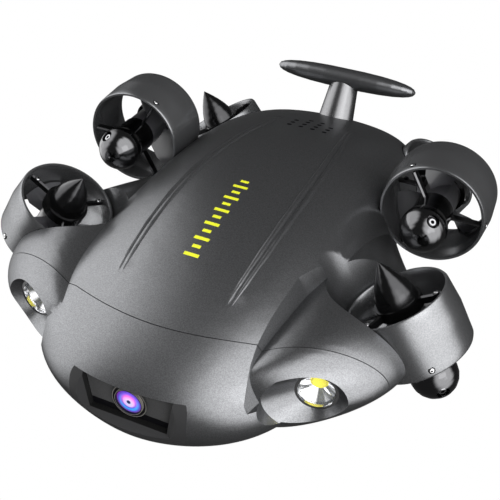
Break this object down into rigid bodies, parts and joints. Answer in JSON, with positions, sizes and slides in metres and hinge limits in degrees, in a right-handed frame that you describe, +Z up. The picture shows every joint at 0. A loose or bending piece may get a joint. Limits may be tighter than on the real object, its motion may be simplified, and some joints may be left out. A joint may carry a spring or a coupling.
{
  "type": "underwater inspection vehicle",
  "caption": "Low hydrodynamic body with ducted thrusters at nose, flanks and tail, a nose camera, shoulder lamps and a bar handle at the stern for underwater inspection.",
  "frame": {"origin": "on the flat of the belly, on the middle plane, below the point midway between the ducts' fore and aft spread", "axes": "+Z up, -Y towards the camera nose, +Y towards the handle, +X to the vehicle's own left-to-right across"},
  "size_m": [0.3486, 0.3883, 0.1387],
  "materials": {
    "hull_shell": "satin",
    "duct_shell": "satin",
    "pod_black": "gloss",
    "propeller_grey": "gloss",
    "shaft_steel": "satin",
    "camera_black": "gloss",
    "lens_glass": "polished",
    "lens_ring_black": "satin",
    "lamp_reflector": "polished",
    "lamp_emitter": "gloss",
    "lamp_glass": "clear",
    "handle_silver": "satin",
    "grip_grey": "satin",
    "stud_steel": "satin",
    "connector_black": "matte",
    "can_metal": "satin",
    "battery_blue": "matte",
    "board_green": "matte"
  },
  "bodies": {
    "vehicle": {"battery_pack": "battery_blue", "camera_barrel": "camera_black", "camera_bezel": "camera_black", "camera_lens": "lens_glass", "control_board": "board_green", "duct_front_left": "duct_shell", "duct_front_right": "duct_shell", "duct_mid_left": "duct_shell", "duct_mid_right": "duct_shell", "duct_rear_left": "duct_shell", "duct_rear_right": "duct_shell", "handle_grip": "grip_grey", "handle_post": "handle_silver", "handle_stud": "stud_steel", "lamp_chip_left": "lamp_emitter", "lamp_chip_right": "lamp_emitter", "lamp_cup_left": "lamp_reflector", "lamp_cup_right": "lamp_reflector", "lamp_window_left": "lamp_glass", "lamp_window_right": "lamp_glass", "lens_ring": "lens_ring_black", "lower_hull": "hull_shell", "motor_pod_front_left": "pod_black", "motor_pod_front_right": "pod_black", "motor_pod_mid_left": "pod_black", "motor_pod_mid_right": "pod_black", "motor_pod_rear_left": "pod_black", "motor_pod_rear_right": "pod_black", "nose_shell": "hull_shell", "pressure_can": "can_metal", "tail_guard_front_left": "pod_black", "tail_guard_front_right": "pod_black", "tail_guard_mid_left": "pod_black", "tail_guard_mid_right": "pod_black", "tail_guard_rear_left": "pod_black", "tail_guard_rear_right": "pod_black", "tether_connector": "connector_black", "upper_hull": "hull_shell"},
    "propeller_front_right": {"propeller_front_right": "propeller_grey", "shaft_front_right": "shaft_steel"},
    "propeller_mid_right": {"propeller_mid_right": "propeller_grey", "shaft_mid_right": "shaft_steel"},
    "propeller_rear_right": {"propeller_rear_right": "propeller_grey", "shaft_rear_right": "shaft_steel"},
    "propeller_front_left": {"propeller_front_left": "propeller_grey", "shaft_front_left": "shaft_steel"},
    "propeller_mid_left": {"propeller_mid_left": "propeller_grey", "shaft_mid_left": "shaft_steel"},
    "propeller_rear_left": {"propeller_rear_left": "propeller_grey", "shaft_rear_left": "shaft_steel"}
  },
  "joints": [
    {"name": "spin_front_right", "type": "hinge", "parent": "vehicle", "child": "propeller_front_right", "pos_m": [0.1451, -0.0676, 0.0537], "axis": [-0.5344, 0, 0.8453], "continuous": true},
    {"name": "spin_mid_right", "type": "hinge", "parent": "vehicle", "child": "propeller_mid_right", "pos_m": [0.1197, 0.02, 0.1], "axis": [0, 1, 0], "continuous": true},
    {"name": "spin_rear_right", "type": "hinge", "parent": "vehicle", "child": "propeller_rear_right", "pos_m": [0.0774, 0.1351, 0.0344], "axis": [0.5505, 0, 0.8348], "continuous": true},
    {"name": "spin_front_left", "type": "hinge", "parent": "vehicle", "child": "propeller_front_left", "pos_m": [-0.1451, -0.0676, 0.0537], "axis": [0.5344, 0, 0.8453], "continuous": true},
    {"name": "spin_mid_left", "type": "hinge", "parent": "vehicle", "child": "propeller_mid_left", "pos_m": [-0.1197, 0.02, 0.1], "axis": [0, 1, 0], "continuous": true},
    {"name": "spin_rear_left", "type": "hinge", "parent": "vehicle", "child": "propeller_rear_left", "pos_m": [-0.0774, 0.1351, 0.0344], "axis": [-0.5505, 0, 0.8348], "continuous": true}
  ]
}
